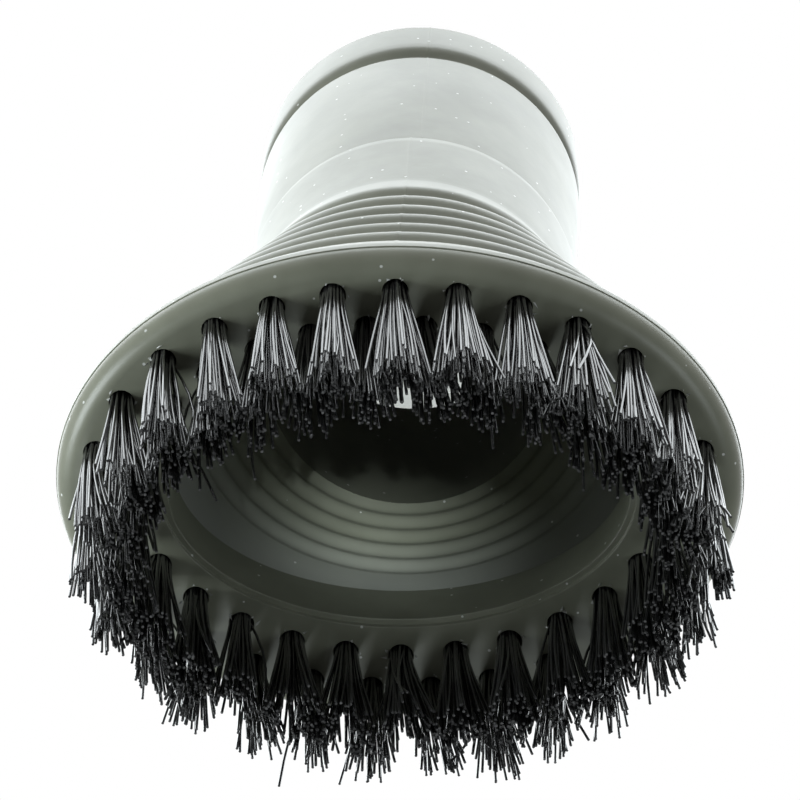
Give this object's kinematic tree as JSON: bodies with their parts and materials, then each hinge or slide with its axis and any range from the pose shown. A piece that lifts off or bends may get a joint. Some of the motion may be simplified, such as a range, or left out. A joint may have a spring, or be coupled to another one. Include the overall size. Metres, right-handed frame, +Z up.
{
  "type": "vacuum dusting brush",
  "caption": "Dusting brush for a vacuum cleaner: round socket, ribbed bell and oval head with two rows of black bristle tufts.",
  "frame": {"origin": "middle of the plane of the bristle tips, on the socket's axis, where the brush stands on its bristles", "axes": "+Z up the socket's axis, out of its mouth; X along the long axis of the oval head; Y along its short axis"},
  "size_m": [0.076, 0.056, 0.1259],
  "materials": {
    "body_plastic": "satin grey-green moulded plastic",
    "bristle": "black nylon filament",
    "anchor_steel": "flat steel wire"
  },
  "bodies": {
    "root": {"body": "body_plastic", "outer_tuft_01": "bristle", "outer_tuft_02": "bristle", "outer_tuft_03": "bristle", "outer_tuft_04": "bristle", "outer_tuft_05": "bristle", "outer_tuft_06": "bristle", "outer_tuft_07": "bristle", "outer_tuft_08": "bristle", "outer_tuft_09": "bristle", "outer_tuft_10": "bristle", "outer_tuft_11": "bristle", "outer_tuft_12": "bristle", "outer_tuft_13": "bristle", "outer_tuft_14": "bristle", "outer_tuft_15": "bristle", "outer_tuft_16": "bristle", "outer_tuft_17": "bristle", "outer_tuft_18": "bristle", "outer_tuft_19": "bristle", "outer_tuft_20": "bristle", "outer_tuft_21": "bristle", "outer_tuft_22": "bristle", "outer_tuft_23": "bristle", "outer_tuft_24": "bristle", "outer_tuft_25": "bristle", "outer_tuft_26": "bristle", "outer_tuft_27": "bristle", "inner_tuft_01": "bristle", "inner_tuft_02": "bristle", "inner_tuft_03": "bristle", "inner_tuft_04": "bristle", "inner_tuft_05": "bristle", "inner_tuft_06": "bristle", "inner_tuft_07": "bristle", "inner_tuft_08": "bristle", "inner_tuft_09": "bristle", "inner_tuft_10": "bristle", "inner_tuft_11": "bristle", "inner_tuft_12": "bristle", "inner_tuft_13": "bristle", "inner_tuft_14": "bristle", "inner_tuft_15": "bristle", "inner_tuft_16": "bristle", "inner_tuft_17": "bristle", "inner_tuft_18": "bristle", "inner_tuft_19": "bristle", "inner_tuft_20": "bristle", "inner_tuft_21": "bristle", "inner_tuft_22": "bristle", "inner_tuft_23": "bristle", "inner_tuft_24": "bristle", "inner_tuft_25": "bristle", "inner_tuft_26": "bristle", "inner_tuft_27": "bristle", "tuft_anchors": "anchor_steel"}
  },
  "joints": []
}
